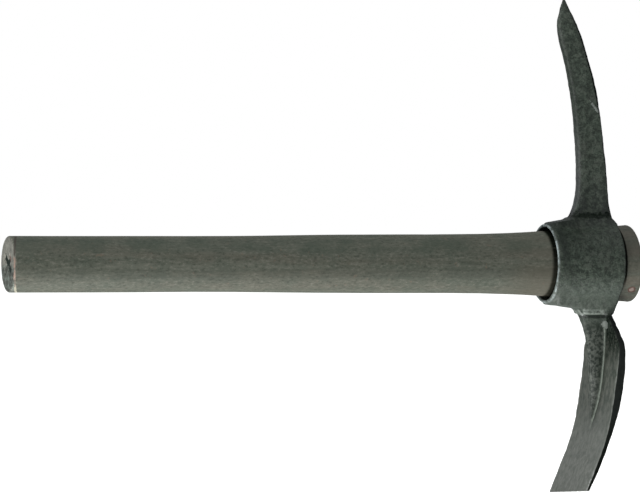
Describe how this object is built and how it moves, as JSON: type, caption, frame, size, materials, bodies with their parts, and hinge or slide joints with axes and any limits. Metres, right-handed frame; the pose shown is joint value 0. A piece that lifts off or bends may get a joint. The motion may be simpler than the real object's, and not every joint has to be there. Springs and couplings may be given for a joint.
{
  "type": "pick mattock",
  "caption": "Short pick-mattock: forged head with a pick and a broad adze blade, on a round wooden helve that flares to hold the drop-on head.",
  "frame": {"origin": "centre of the butt face at the grip end of the helve", "axes": "+X runs along the helve from the butt to the head, +Z is the way the pick points (the adze hangs towards -Z), and +Y is the thin direction, across the pick"},
  "size_m": [0.3918, 0.057, 0.3017],
  "materials": {
    "helve_wood": "hardwood under a thin coat of matt olive-grey paint, worn to bare wood on its edges",
    "head_steel": "forged steel under dark olive-green paint, satin, a little rubbed on its edges"
  },
  "bodies": {
    "helve": {"helve": "helve_wood"},
    "head": {"head": "head_steel"}
  },
  "joints": [
    {"name": "head_slide", "type": "slide", "parent": "helve", "child": "head", "axis": [-1, 0, 0], "range_m": [0, 0.4]}
  ]
}
